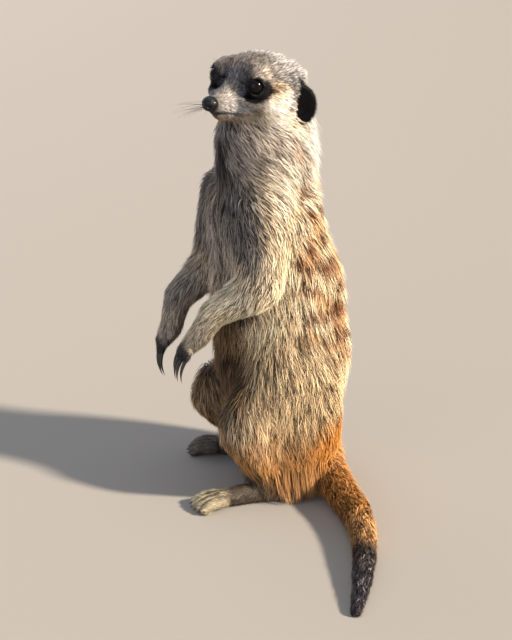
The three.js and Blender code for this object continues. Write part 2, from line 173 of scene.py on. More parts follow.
# Matt background paper: it takes a soft shadow and shows no gloss.
floor.data.materials.append(material("studio paper", Base_Color="#8f8a84", Roughness=0.95)[0])

# ---------------- the body's form
# The flesh and the loose skin over it. Each part is a field, the distance to its surface, and they
# flow into each other. Their surfaces are those of the solids, which reach the tips of the coat.

FAR = 1e3
MARGIN = 26  # how far round a part its distance is worked out


class Field:
    """A form: the distance to its surface, negative inside, and the box that holds it."""

    def __init__(self, at, low, high):
        self.at, self.low, self.high = at, np.asarray(low, float), np.asarray(high, float)


def soft_min(a, b, reach):
    """The lesser of two distances, rounded where they are within reach of each other."""
    near = np.maximum(reach - np.abs(a - b), 0) / reach
    return np.minimum(a, b) - near * near * reach * 0.25


def soft_max(a, b, reach):
    return -soft_min(-a, -b, reach)


def egg(centre, radii, tip=0, yaw=0):
    """An ellipsoid, turned about its own Z and then tipped about X."""
    centre, radii = np.array(centre, float), np.array(radii, float)
    turned = axes(0, tip) @ axes(yaw)

    def at(p):
        q = (p - centre) @ turned / radii
        reach = np.sqrt((q * q).sum(1))
        slope = np.sqrt(((q / radii) ** 2).sum(1))
        return reach * (reach - 1) / np.maximum(slope, 1e-4)

    return Field(at, centre - radii.max(), centre + radii.max())


def limb(points, sizes):
    """Round lengths from point to point, each end with its own radius."""
    points, sizes = np.array(points, float), np.array(sizes, float)

    def at(p):
        best = np.full(len(p), FAR)
        for start, end, size, next_size in zip(points, points[1:], sizes, sizes[1:]):
            along = end - start
            t = np.clip((p - start) @ along / (along @ along), 0, 1)
            away = np.linalg.norm(p - start - t[:, None] * along, axis=1)
            best = np.minimum(best, away - size - (next_size - size) * t)
        return best

    return Field(at, (points - sizes[:, None]).min(0), (points + sizes[:, None]).max(0))


def blend(reach, *fields):
    """Forms that flow into each other."""

    def at(p):
        out = fields[0].at(p)
        for field in fields[1:]:
            out = soft_min(out, field.at(p), reach)
        return out

    return Field(at, np.min([f.low for f in fields], 0), np.max([f.high for f in fields], 0))


def both_sides(field):
    """A form on the left and its mirror on the right."""
    low = np.array([-field.high[0], *field.low[1:]])
    return Field(lambda p: field.at(np.column_stack([np.abs(p[:, 0]), p[:, 1:]])), low, field.high)


def placed(origin, turned, field):
    """The field in a frame of its own."""
    corners = np.stack([field.low, field.high])[np.indices((2, 2, 2)).reshape(3, -1).T, [0, 1, 2]]
    corners = origin + corners @ turned.T
    return Field(lambda p: field.at((p - origin) @ turned), corners.min(0), corners.max(0))


def between(a, b, t):
    return np.asarray(a) + (np.asarray(b) - np.asarray(a)) * t


trunk = blend(
    24,
    egg((0, 4, 45), (41, 34, 46)),
    egg((0, 2, 90), (39, 45, 44)),
    egg((0, -2, 136), (36, 44.5, 44)),
    egg((1, -10, 184), (34, 38, 36), yaw=14),
)
neck = blend(10, egg((2, -10, 222), (28, 32.5, 36), 4, 14), egg((1, -11, 243), (25, 32, 24), yaw=20))
skull = blend(
    7,
    egg((0, 1.5, -1), (25, 28, 19), 5),
    egg((0, -12, 1), (19.5, 16, 18)),
    limb([(0, -16, -6), (0, -34, -6.5), (0, -43, -6)], [12.5, 8.5, 5.8]),
    limb([(0, 4, -13), (0, -20, -12), (0, -36, -12)], [15, 9.5, 4.6]),
    both_sides(egg((13, 0, -12), (13, 20, 14))),
    both_sides(egg((12, -16, 11), (9, 9, 6))),
    both_sides(egg((12, -21, -4), (9, 10, 7))),
    both_sides(egg((15, 11, 3), (12, 14, 10))),
)
orbit = both_sides(egg((15, -28, 5.5), (8.5, 6, 6.8)))
hollowed = Field(lambda q: soft_max(skull.at(q), -orbit.at(q), 3), skull.low, skull.high)
head = placed(HEAD_AT, HEAD_AXES, hollowed)

DIGITS = np.array([-1.5, -0.5, 0.5, 1.5])  # the four toes, from the middle of the paw out
ARMS = {  # shoulder, elbow, middle of the forearm, wrist, and how the hand hangs
    "left": ((24.5, -15, 196), (41, -18, 150), (35, -47, 132), (28, -57.5, 112), axes(6, 42, 8)),
    "right": ((-21.5, -30, 196), (-35, -39, 140), (-27, -63, 121), (-18, -69.5, 101.5), axes(6, 56, -6)),
}
LEGS = {  # side, knee, ankle, heel, and how the foot splays
    "left": (1, (39, -29, 60), (34, -8, 15), (33, -1, 8), axes(15)),
    "right": (-1, (-38, -38, 55), (-34, -8, 15), (-31, 7, 8), axes(-17)),
}
TAIL = [  # place, radius
    ((4, 26, 17), 15), ((26, 29, 13), 12.8), ((54, 34, 10.6), 10.8), ((80, 38, 9.4), 9.6),
    ((106, 38.5, 8.5), 8.7), ((129, 36, 7.5), 7.7), ((153, 31.5, 6.4), 6.6), ((178, 26, 5), 5.3),
    ((199, 20, 3.4), 3.7), ((213, 16, 2.1), 2.4),
]
finger_tips = [np.array([n * 4.625, -16.5 + 1.6 * abs(n), -1.5]) for n in DIGITS]
toe_tips = [np.array([n * 5.52, -61 + 1.5 * abs(n), -4.4]) for n in DIGITS]
paw = blend(
    2,
    limb([(0, 0, 0), (0, -8, 0)], [7.2, 6.2]),
    *(limb([(n * 3.7, -9, 0), tip], [3.2, 2.7]) for n, tip in zip(DIGITS, finger_tips)),
)
foot = blend(
    1.4,
    limb([(0, 0, 0), (0, -25.5, -1.2), (0, -43, -2)], [8.6, 7.2, 6.4]),
    *(
        limb([(n * 4, -44, -1.6), (n * 5, -54, -1.8), tip], [4.4, 3.9, 3.7])
        for n, tip in zip(DIGITS, toe_tips)
    ),
)
TAIL_SPANS = {"tail_base": 0, "tail_middle": 3, "tail_tip": 6}  # each starts at this place of TAIL
tail_lengths = [limb(*zip(*TAIL[a : a + 4])) for a in TAIL_SPANS.values()]

# Each part has its field, how far it flows into the others, and the coat's depth on it.
PARTS = {"trunk": (trunk, 1, 6.0), "neck": (neck, 14, 5.0), "head": (head, 8, 0)}
for side, (sign, knee, ankle, heel, splay) in LEGS.items():
    shoulder, elbow, middle, wrist, hand = ARMS[side]
    haunch = egg((sign * 31, 2, 55), (21, 36, 54))
    stifle = egg((knee[0], knee[1] + 4, knee[2] - 2), (15, 18, 22))
    shank = limb([(knee[0], knee[1], knee[2] - 12), ankle], [15, 13])
    forearm = limb([between(elbow, middle, 0.25), middle, wrist], [13, 9.8, 6.6])
    PARTS["thigh_" + side] = (blend(14, haunch, stifle), 12, 5.5)
    PARTS["shank_" + side] = (shank, 8, 3.5)
    PARTS["hind_foot_" + side] = (placed(heel, splay, foot), 4, 1.4)
    PARTS["upper_arm_" + side] = (limb([shoulder, elbow], [19, 14.5]), 14, 4.5)
    PARTS["forearm_" + side] = (forearm, 4, 2.4)
    PARTS["forepaw_" + side] = (placed(wrist, hand, paw), 2, 1.0)
for name, length, depth in zip(TAIL_SPANS, tail_lengths, (3.6, 3.0, 2.2)):
    PARTS[name] = (length, 8 if name == "tail_base" else 2, depth)
NAMES = list(PARTS)


def own_distances(p):
    """The distance from each point to each part, as columns, or FAR where it is well away."""
    out = np.full((len(p), len(NAMES)), FAR)
    for column, (field, _, _) in zip(out.T, PARTS.values()):
        near = ((p > field.low - MARGIN) & (p < field.high + MARGIN)).all(1)
        column[near] = field.at(p[near])
    return out


def shares(own, softness=3.0):
    """How much each part has to say at each point, adding up to one."""
    weight = np.exp(-(own - own.min(1, keepdims=True)) / softness)
    return weight / weight.sum(1, keepdims=True)


def ramp(x, low, high):
    """A smooth step from 0 at low to 1 at high."""
    t = np.clip((np.asarray(x, float) - low) / (high - low), 0, 1)
    return t * t * (3 - 2 * t)


# ---------------- skin
# One thin loose hide over the whole body, under the coat by the coat's depth. It is drawn over the
# form in one piece, and carries the ears, the lids, the lips and the folds of the face.

EAR_AT, EAR_SWEEP = np.array([25, 10.8, -10.5]), 37
EAR_HALF = np.array([10.4, 1.5, 12.4])  # half its width, thickness and height, without the fur
EAR_CUP = 3
GAZE = unit(np.array([0.68, -0.72, 0.1]))
BALL_RADIUS, LID, LID_HALF = 5.6, 0.9, np.array([4.9, 4.1])  # the ball, its lids, half the opening
LIP_BREADTH, LIP_DEPTH = 0.55, 1.1
SKIN_STEP = 1.5
SOLE_GAP = 0.15  # between the skin and the floor, where it rests
PROBE = 0.08  # how far off the slope of the skin is felt


def eye_frame():
    """Axes, as columns, across the opening of the left eye, up it and out of it."""
    across = unit(np.cross(GAZE, [0, 0, 1]))
    return np.column_stack([across, np.cross(across, GAZE), GAZE])


EYE_AXES = eye_frame()


def fold(q):
    """Both sides of the head laid over the left one."""
    return np.column_stack([np.abs(q[:, 0]), q[:, 1:]])


def ear_local(q):
    """Both ears laid over the left one, in its own frame."""
    return (fold(q) - EAR_AT) @ axes(EAR_SWEEP)


def ear_at(q):
    """A cupped leaf with a rolled rim and a ridge inside, open to the front."""
    e = ear_local(q)
    out = (e[:, 0] / EAR_HALF[0]) ** 2 + (e[:, 2] / EAR_HALF[2]) ** 2
    leaf = e - np.column_stack([0 * out, EAR_CUP * (1 - np.minimum(out, 1.6)), 0 * out])
    k = np.linalg.norm(leaf / EAR_HALF, axis=1)
    slope = np.linalg.norm(leaf / EAR_HALF**2, axis=1)
    plate = k * (k - 1) / np.maximum(slope, 1e-4)
    rim = 0.7 * np.exp(-(((np.sqrt(out) - 0.88) / 0.12) ** 2))
    ridge = 0.8 * np.exp(-(((np.sqrt(out) - 0.45) / 0.13) ** 2)) * (e[:, 1] < leaf[:, 1] + EAR_CUP)
    return plate - rim - ridge


def lip_height(q):
    """The height of the line where the lips meet, from the chin to the corner of the mouth."""
    back = np.clip((q[:, 1] + 46) / 22, 0, 1)
    return -10.2 - 4.6 * back + 1.2 * np.sin(np.pi * back)


def head_depth(q):
    """The depth of the coat on the head: short on the face, longer towards the cheeks and nape."""
    back = ramp(q[:, 1], -34, 4)
    on_body = 0.9 + 2.4 * back + 1.4 * ramp(q[:, 1], 2, 22)
    return on_body * (0.2 + 0.8 * ramp(ear_at(q), 0.5, 4))


def coat_depth(q, share):
    """How deep the coat is at each point, from the parts that have a say there."""
    depths = np.tile([depth for _, _, depth in PARTS.values()], (len(q), 1))
    depths[:, NAMES.index("head")] = head_depth(q)
    return (share * depths).sum(1)


def face_at(q, skin):
    """The skin with the ears, lids and lips, from the skin without them."""
    e = (fold(q) - EYE_AT) @ EYE_AXES
    ball = np.linalg.norm(e, axis=1)
    skin = soft_min(skin, ball - BALL_RADIUS - LID, 4.5)
    corner = 1.25 - 0.55 * np.clip(e[:, 0] / LID_HALF[0], -1, 1) ** 2  # the corners are pointed
    slit = (np.hypot(e[:, 0] / LID_HALF[0], e[:, 1] / (LID_HALF[1] * corner)) - 1) * LID_HALF[1]
    opening = np.maximum(slit, -e[:, 2])
    skin = soft_max(skin, -opening, 0.7)
    crease = np.exp(-(((ball - BALL_RADIUS - 2.9) / 0.7) ** 2)) * ramp(e[:, 2], -2, 2)
    lips = np.exp(-(((q[:, 2] - lip_height(q)) / LIP_BREADTH) ** 2)) * ramp(-q[:, 1], 23, 27)
    split = np.exp(-((q[:, 0] / 0.5) ** 2)) * ramp(-q[:, 1], 43, 45) * ramp(-q[:, 2], 5, 7)
    split = split * ramp(q[:, 2], -11.5, -10)
    skin = skin + 0.45 * crease + LIP_DEPTH * np.maximum(lips, 0.7 * split)
    return soft_min(skin, ear_at(q), 1.6)


def skin_from(p, own):
    """The parts run together, taken in by the coat's depth, with the face on and the soles flat."""
    body = np.full(len(p), FAR)
    for column, (_, reach, _) in zip(own.T, PARTS.values()):
        body = soft_min(body, column, reach)
    q = to_head(p)
    depth = 0.3 + (coat_depth(q, shares(own, 4.0)) - 0.3) * ramp(p[:, 2], -2, 9)
    skin = body + depth
    on_head = own[:, NAMES.index("head")] < 16
    skin[on_head] = face_at(q[on_head], skin[on_head])
    return soft_max(skin, SOLE_GAP - p[:, 2], 0.4)


def skin_at(p):
    """The distance from each point to the skin, negative inside it."""
    return np.concatenate([skin_from(q, own_distances(q)) for q in np.array_split(p, len(p) // 200000 + 1)])


def height_and_normal(p):
    """Each point's height over the skin, and the way straight up from it."""
    here = skin_at(p)
    ahead = [skin_at(p + offset) for offset in PROBE * np.eye(3)]
    slope = (np.stack(ahead, 1) - here[:, None]) / PROBE
    steep = np.maximum(np.linalg.norm(slope, axis=1), 0.3)
    return here / steep, slope / steep[:, None]


def settle(p, height=0, passes=2, most=2.0):
    """Moves the points to a height over the skin."""
    for _ in range(passes):
        here, up = height_and_normal(p)
        p = p - np.clip(here - height, -most, most)[:, None] * up
    return p


def net(field, low, high, step, block=4):
    """The field's surface as quads: one point in each cube of a grid that the surface crosses."""
    counts = np.ceil((high - low) / step / block).astype(int) + 1
    blocks = np.indices(counts).reshape(3, -1).T
    coarse = field(low + (blocks * block + (block - 1) / 2) * step)
    value = np.sign(coarse).reshape(counts)
    near = (np.abs(coarse) < 1.4 * block * step).reshape(counts)
    for axis in range(3):
        value, near = value.repeat(block, axis), near.repeat(block, axis)
    spots = np.argwhere(near)
    value[near] = field(low + spots * step)
    inside = value < 0
    corners = np.indices((2, 2, 2)).reshape(3, -1).T
    held = sum(inside[tuple(slice(a, a - 1 or None) for a in c)].astype(int) for c in corners)
    cubes = np.argwhere((held > 0) & (held < 8))
    at_corner = np.stack([value[tuple((cubes + c).T)] for c in corners], 1)
    middle, crossed = np.zeros((len(cubes), 3)), np.zeros(len(cubes))
    for a, b in np.ndindex(8, 8):
        if a > b or abs(corners[a] - corners[b]).sum() != 1:
            continue
        one, two = at_corner[:, a], at_corner[:, b]
        cut = (one < 0) != (two < 0)
        t = one[cut] / (one[cut] - two[cut])
        middle[cut] += corners[a] + t[:, None] * (corners[b] - corners[a])
        crossed[cut] += 1
    points = low + (cubes + middle / crossed[:, None]) * step
    number = np.full(held.shape, -1)
    number[tuple(cubes.T)] = np.arange(len(cubes))
    faces = []
    for axis in range(3):
        u, w = np.eye(3, dtype=int)[[(axis + 1) % 3, (axis + 2) % 3]]
        ends = tuple(slice(0, -1) if i == axis else slice(0, None) for i in range(3))
        starts = tuple(slice(1, None) if i == axis else slice(0, None) for i in range(3))
        edges = np.argwhere(inside[ends] != inside[starts])
        around = [edges - a * u - b * w for a, b in ((0, 0), (1, 0), (1, 1), (0, 1))]
        ring = np.stack([number[tuple(cube.T)] for cube in around], 1)
        outward = inside[tuple(edges.T)]
        faces.append(np.where(outward[:, None], ring, ring[:, ::-1]))
    return points, np.concatenate(faces)


def refine(obj, chosen):
    """Splits the edges at the chosen places in two, and lays the points there on the skin again."""
    mesh = bmesh.new()
    mesh.from_mesh(obj.data)
    places = np.array([v.co for v in mesh.verts]) * 1000 + ORIGIN
    near = chosen(places)
    edges = [e for e in mesh.edges if near[e.verts[0].index] and near[e.verts[1].index]]
    bmesh.ops.subdivide_edges(mesh, edges=edges, cuts=1, use_grid_fill=True)
    bmesh.ops.triangulate(mesh, faces=[f for f in mesh.faces if len(f.verts) > 4])
    mesh.to_mesh(obj.data)
    mesh.free()
    places = points_of(obj)
    near = chosen(places)
    places[near] = settle(places[near], passes=2, most=0.6)
    obj.data.vertices.foreach_set("co", ((places - ORIGIN) / 1000).astype(np.float32).ravel())
    obj.data.update()


def points_of(obj):
    flat = np.empty(3 * len(obj.data.vertices), np.float32)
    obj.data.vertices.foreach_get("co", flat)
    return flat.reshape(-1, 3) * 1000.0 + ORIGIN


low = np.min([f.low for f, _, _ in PARTS.values()], 0) - 4
high = np.max([f.high for f, _, _ in PARTS.values()], 0) + 4
low[2] = -2
points, faces = net(skin_at, low, high, SKIN_STEP)
skin = mesh_object("skin", settle(points, passes=3, most=0.7), faces)


def on_the_head(p):
    return (np.abs(to_head(p)) < [40, 52, 27]).all(1) & (own_distances(p)[:, NAMES.index("head")] < 5)


def around_eyes_and_lips(p):
    q = to_head(p)
    eye = np.linalg.norm(fold(q) - EYE_AT, axis=1) < EYE_RADIUS + 4
    lips = (np.abs(q[:, 2] - lip_height(q)) < 3) & (q[:, 1] < -20)
    return eye | lips


refine(skin, on_the_head)
refine(skin, around_eyes_and_lips)


# ---------------- the coat's colours
# Skin and coat carry the same markings: a silvery head with black patches round the eyes, a white
# cheek and black ears, a grizzled buff body with short dark bands across the back, a brown belly,
# and a rusty rump and tail with a dark end. Ticking is the share of hairs that are nearly black.

# Painted shade: the hide under the hair takes this share of the coat's colour, as the hair shades it.
SHADE_UNDER_COAT = 0.55  # how much light the hide keeps under the hair
BAND_STEP = 16.5  # from one dark band to the next, down the back
# Painted shadow: dark folds of the loose belly, painted where the skin has no fold.
BELLY_FOLD_SHADOWS = [(27, -28, 121), (21, -36, 85)]  # where the loose belly folds
SPOTS = [  # the darkest spots on the left of the back: middle and radius
    ((24, 32, 147), 6), ((31, 20, 161), 4), ((28, 22, 187), 4.5), ((22, 37, 121), 4.5), ((22, 36, 109), 4),
]
HEAD_MARKS = [  # colour, middle, half sizes, strength, ticking and, if not 0.5, the edge
    ("#86858a", (0, -24, 11), (6.5, 5, 5), 0.8, 0.45),  # between the brows
    ("#b0a69c", (3, -34, 1), (6, 10, 7), 1, 0.25, 0.4),  # the bridge of the nose
    ("#8f8987", (8, -32, -7), (9, 13, 7), 1, 0.25, 0.4),  # below the eye
    ("#cbbdaa", (18, -16, 14.5), (8, 8, 4), 0.5, 0.25),  # the pale brow
    ("#e6dccf", (23, -5, -13), (12, 11, 16), 1, 0.1, 0.4),  # the white cheek
    ("#dcc4a2", (21, -6, 0), (9, 9, 6.5), 0.8, 0.15),  # from the eye to the ear
    ("#6d543f", (21, -7, 2.5), (7, 7, 3.6), 0.8, 0.35, 0.6),  # the rusty streak in it
    ("#c4b29c", (15, -17, -19), (13, 13, 7), 0.85, 0.22),  # the jaw
    # The whisker pads: pale grey of their own, brightened further as painted light on the shaded underside
    # of the muzzle.
    ("#dcd8d6", (8, -30, -10), (9, 10, 5), 0.85, 0.3),  # the whisker pads
]


def part_share(share, *starts):
    """The share of all the parts whose names start so."""
    return share[:, [name.startswith(starts) for name in NAMES]].sum(1)


def ripple(p, size, seed, slope=False):
    """Smooth noise from about -1 to 1 with waves about `size` mm long, and its slope if wanted."""
    wave = np.random.default_rng(seed)
    out, rise = np.zeros(len(p)), np.zeros((len(p), 3))
    for _ in range(9):
        way = wave.normal(size=3)
        way *= 2 * np.pi / (size * wave.uniform(0.7, 1.6)) / np.linalg.norm(way)
        phase = p @ way + wave.uniform(0, 2 * np.pi)
        out += np.sin(phase) / 4.5
        if slope:
            rise += np.cos(phase)[:, None] * way / 4.5
    return (out, rise) if slope else np.clip(out, -1, 1)


def blob(q, centre, radii, edge=0.35):
    """One inside an ellipsoid, falling to zero across its soft edge."""
    return 1 - ramp(np.linalg.norm((q - centre) / radii, axis=1), 1 - edge, 1 + edge)


def markings(p):
    """The colour of the coat at each place, and its ticking."""
    own = own_distances(p)
    share = shares(own)
    q = to_head(p)
    folded = fold(q)
    wander = ripple(p, 9, 11)
    broad = ripple(p, 26, 12)
    colour = np.tile(linear("#dbc4a3"), (len(p), 1))
    ticking = np.full(len(p), 0.26)

    def paint(hex_colour, where, tick=None):
        where = np.clip(where, 0, 1)
        colour[:] += (linear(hex_colour) - colour) * where[:, None]
        if tick is not None:
            ticking[:] += (tick - ticking) * where

    def mark(at, hex_colour, middle, radii, strength=1, tick=None, edge=0.5):
        paint(hex_colour, blob(at, middle, radii, edge) * strength, tick)

    def part(*starts):
        return part_share(share, *starts)

    x, y, z = p.T
    # The body: buff behind, greyer on the chest and brown on the belly, with painted shade in its folds and
    # between the thighs.
    body = part("trunk", "neck", "thigh", "upper")
    rear = ramp(y + 0.12 * x, -16, 16)  # from the chest and belly round to the back
    fore = 1 - ramp(y + 2 * broad, -34, -20)
    paint("#e6cda9", body * rear * 0.8, 0.26)
    paint("#c6ab8a", body * ramp(y, 8, 30) * (1 - ramp(z, 200, 215)) * 0.55)
    paint("#d9cab6", body * ramp(z, 165, 215) * rear, 0.3)
    paint("#fff3e2", body * ramp(z, 205, 235) * ramp(y, -8, 8), 0.16)
    paint("#a2968a", body * fore * ramp(z, 120, 150), 0.3)
    paint("#8b6f4f", part("trunk", "thigh") * fore * (1 - ramp(z, 110, 140)), 0.35)
    # Darker brown low between the thighs and round the near belly fold: partly the belly's own colour,
    # partly painted shade.
    mark(p, "#5d4632", (-4, -38, 66), (26, 14, 24), 0.7, 0.4, edge=0.35)
    mark(p, "#4f4033", (20, -30, 124), (24, 14, 12), 0.9, 0.5, edge=0.35)
    # Painted shadow in the folds of the belly.
    for crease in BELLY_FOLD_SHADOWS:
        paint("#2e241e", blob((p - crease) @ axes(0, 18), (0, 0, 0), (11, 12, 4.2), 0.5) * 0.9, 0.7)
    # The bands: short broken bars across the back.
    spine = np.arctan2(x - 2, y + 14)
    bars = ramp(np.sin(2 * np.pi * (z + 3 * wander + 3 * np.cos(2 * spine)) / BAND_STEP), 0.1, 0.6)
    broken = ramp(ripple(p * [1, 1, 0.7], 13, 13), -0.35, 0.0)
    on_back = (1 - ramp(np.abs(spine), 0.95, 1.35)) * ramp(z, 66, 90) * (1 - ramp(z, 200, 216))
    torso = part("trunk", "thigh")
    paint("#c08a58", torso * on_back * ramp(ripple(p, 16, 14), -0.1, 0.5) * 0.6)
    paint("#5a2f16", torso * bars * broken * on_back * 0.9, 0.35)
    for spot, radius in SPOTS:
        paint("#744320", torso * blob(p, spot, (12, radius, radius), 0.5) * 0.85, 0.35)

    # The neck, the shoulders and the arms: grey in front, wispy at the side, with dark fingers; painted
    # shade on the front of the chest and on the far forearm.
    neck = part("neck") + part("head") * (1 - ramp(q[:, 2], -26, -18))
    paint("#a59b93", neck * (1 - rear) * 0.9, 0.34)
    paint("#b5a89b", neck * blob(p, (22, 0, 226), (16, 22, 22), 0.5), 0.34)
    mark(p, "#8d8580", (19, -30, 246), (9, 9, 8), 0.7, 0.4)
    wisps = ramp(ripple(p @ axes(24, 22) * [1, 1, 0.3], 5, 41), 0.0, 0.6)
    wisps = wisps * ramp(z, 168, 190) * (1 - ramp(z, 236, 250)) * (1 - ramp(y, 0, 14))
    paint("#6a5a4e", wisps * body * 0.75, 0.4)
    # Painted shade on the front of the lower neck and chest, and in front of the near shoulder.
    mark(p, "#3d3835", (14, -36, 220), (8, 10, 22), 0.9, 0.6)
    mark(p, "#3d3835", (-2, -38, 208), (10, 10, 14), 0.6, 0.6)
    mark(p, "#453c36", (24, -30, 196), (8, 12, 18), 0.85, 0.6)
    mark(p, "#a39a94", (14, -34, 247), (16, 12, 9), 0.8, 0.3)
    arms = part("upper")
    paint("#857d76", arms * (1 - ramp(y, -24, -6)), 0.45)
    mark(p, "#f0dcc0", (26, 2, 215), (10, 14, 10), 0.6, 0.2, edge=0.6)
    fore_arms = part("forearm")
    paint("#f2d8b4", fore_arms, 0.26)
    # Painted shade: the far forearm is greyer and darker than the near one.
    paint("#a2968a", part("forearm_right"), 0.34)
    for side, (*_, wrist, hand) in ARMS.items():
        held = (p - wrist) @ hand
        paw_share = part("forepaw_" + side)
        paint("#b5a898", paw_share, 0.3)
        paint("#2c282b", paw_share * np.maximum(ramp(-held[:, 1], 7, 12), ramp(-held[:, 2], 1, 4)), 0.2)

    # The haunches and feet: streaked above, rusty round the seat, and pale toes; painted shade on the knees,
    # the feet, the far toes and in the clefts between the toes.
    haunch = part("thigh", "shank") + part("trunk") * (1 - ramp(z, 40, 70))
    paint("#c0a580", part("thigh") * (1 - fore), 0.3)
    paint("#5e4a35", haunch * ramp(ripple(p * [1, 1, 0.35], 7, 43), 0.05, 0.6) * 0.7, 0.5)
    paint("#b5814c", haunch * (1 - ramp(z + 4 * broad, 16, 60)), 0.28)
    paint("#d2975a", haunch * (1 - ramp(z + 3 * wander, 4, 28)) * 0.9, 0.2)
    # Painted shade on the front of the near knee.
    mark(p, "#5c4630", (32, -36, 62), (14, 14, 32), 0.85, 0.45)
    # Painted shade on the front of the far knee and shank.
    paint("#8d7152", part("shank_right", "thigh_right") * (1 - ramp(y, -30, -10)) * 0.7)
    rump = blob(p, (24, 34, 26), (34, 26, 24), 0.4)
    paint("#b57838", rump * (part("trunk", "thigh") + 0.2), 0.2)
    # Painted shade on the hind feet, darker still on the far foot.
    paint("#6b5f52", part("hind_foot"), 0.35)
    paint("#544c46", part("hind_foot_right"), 0.24)
    for side, (*_, heel, splay) in LEGS.items():
        held = (p - heel) @ splay
        toes = part("hind_foot_" + side) * ramp(-held[:, 1], 39, 50)
        # Painted shade: the far toes are darker than the pale near ones.
        paint("#dcc8a4" if side == "left" else "#7d7264", toes, 0.1)
        # Painted shade in the clefts between the toes, low on the foot.
        cleft_shade = ramp(np.cos(2 * np.pi * held[:, 0] / 5.2), 0.3, 0.95)
        cleft_shade = cleft_shade * ramp(-held[:, 1], 43, 50) * (np.abs(held[:, 0]) < 9)
        paint("#3b3128", toes * cleft_shade * ramp(held[:, 2], -5, -1), 0.3)

    # The tail: rusty, with a nearly black end.
    tail = part("tail")
    paint("#c08347", tail, 0.3)
    paint("#cf9f6c", tail * ramp(x, 90, 120) * 0.7, 0.42)
    paint("#5a4e48", tail * ramp(x + 6 * wander, 128, 152), 0.55)
    paint("#3a353b", tail * ramp(x + 5 * wander, 150, 178), 0.5)
    paint("#a8a29e", tail * ramp(x, 150, 170) * ramp(ripple(p, 3, 18), 0.3, 0.7) * 0.7)

    # The head: silvery crown, pale cheeks, black patches round the eyes, and black ears.
    on_head = part("head") * ramp(q[:, 2], -30, -20)
    paint("#7a736e", on_head, 0.46)
    paint("#aeaaa8", on_head * ramp(q[:, 1], -6, 12), 0.4)
    mark(q, "#7a706a", (0, -6, 16), (5, 15, 6), 0.8, 0.42)
    mark(q, "#62503f", (-0.5, -1, 16), (4, 5, 5), 0.7, 0.4)
    for each in HEAD_MARKS:
        mark(folded, *each)
    lips = np.exp(-(((q[:, 2] - lip_height(q)) / 1.1) ** 2)) * ramp(-q[:, 1], 19, 30)
    paint("#3a3030", on_head * lips * 0.9)
    mark(folded, "#b8926a", (0, -36, -17), (8, 9, 4), 0.6, 0.1)
    mark(folded, "#eab679", (24.5, 11, -32), (7, 8, 14), 1, 0.05)
    mark(folded, "#e0a870", (28, 7, -48), (7, 6, 12), 0.7, 0.1, edge=0.6)
    eye = folded - EYE_AT
    across, over, _ = (eye @ EYE_AXES).T
    along = (across + 0.8) * 0.95 + (over + 2) * 0.31  # the patch runs down and back
    athwart = (over + 2) * 0.95 - (across + 0.8) * 0.31
    patch = np.hypot(along / np.where(along < 0, 13, 10.5), athwart / 9)
    patch += 0.05 * wander + 0.06 * ripple(q, 2.2, 17) + (folded[:, 1] > -2) + (folded[:, 0] < 2)
    dark = 1 - ramp(patch, 0.88, 1.12)
    paint("#08080b", dark, 0.0)
    paint("#75727a", dark * ramp(along, 4, 7) * (1 - ramp(athwart, -1.5, 0.5)), 0.1)
    paint("#100f13", 1 - ramp(np.linalg.norm(eye, axis=1), EYE_RADIUS + 1.2, EYE_RADIUS + 2.2), 0.0)
    leaf = ear_local(q)
    on_leaf = 1 - ramp(ear_at(q), 1.2, 2.8)
    out = ((leaf[:, [0, 2]] / EAR_HALF[[0, 2]]) ** 2).sum(1)
    behind = leaf[:, 1] - EAR_CUP * (1 - np.minimum(out, 1.6))
    paint("#09090c", on_leaf, 0.0)
    paint("#3a1f18", on_leaf * blob(leaf, (-1, 1, 2), (3, 4, 3.5), 0.5) * 0.6)
    paint("#e4dace", on_leaf * ramp(behind, 1.8, 3), 0.15)
    mark(q, "#2b2427", (0, -48, -4), (7.2, 4.5, 6.4), edge=0.2)
    return np.clip(colour, 0.004, 1), np.clip(ticking, 0, 1)


def give_colour(obj, colours):
    """Stores a colour at each point, which the materials read."""
    layer = obj.data.color_attributes.new("coat_colour", "FLOAT_COLOR", "POINT")
    opaque = np.column_stack([colours, np.ones(len(colours))]).astype(np.float32)
    layer.data.foreach_set("color", opaque.ravel())


def node(tree, kind, settings=None, **inputs):
    """Adds a node, with its settings, and its sockets' values or the sockets they are linked to."""
    made = tree.nodes.new("ShaderNode" + kind)
    for key, value in (settings or {}).items():
        setattr(made, key, value)
    for key, value in inputs.items():
        socket = made.inputs[int(key[1:]) if key[0] == "_" else key]
        if isinstance(value, bpy.types.NodeSocket):
            tree.links.new(value, socket)
        else:
            socket.default_value = value
    return made


# The hide's colour is the coat's, darkened as painted shade under the hair.
give_colour(skin, markings(points_of(skin))[0] * SHADE_UNDER_COAT)
# Dull hide with the roots of the underfur in it: a matt, finely mottled ground between the locks.
hide, shader, tree = material("haired hide", Roughness=0.75)
tone = node(tree, "Attribute", {"attribute_name": "coat_colour"})
grain = node(tree, "TexNoise", Scale=1400.0, Detail=3.0)
multiply = {"data_type": "RGBA", "blend_type": "MULTIPLY"}
mottled = node(tree, "Mix", multiply, _0=0.5, _6=tone.outputs["Color"], _7=grain.outputs["Color"])
tree.links.new(mottled.outputs[2], shader.inputs["Base Color"])
bump = node(tree, "Bump", Strength=0.5, Distance=0.0004, Height=grain.outputs["Fac"])
tree.links.new(bump.outputs["Normal"], shader.inputs["Normal"])
skin.data.materials.append(hide)
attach(skin, "root")
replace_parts(skin, *NAMES, "ear_left", "ear_right")


# ---------------- eyes
# Dark brown eyes with a wide pupil, almost filling the lids. The ball is smooth and wet, and the
# cornea stands out a little from it.

BULGE, PUPIL, IRIS = 0.3, np.array([2.1, 1.6]), 3.9
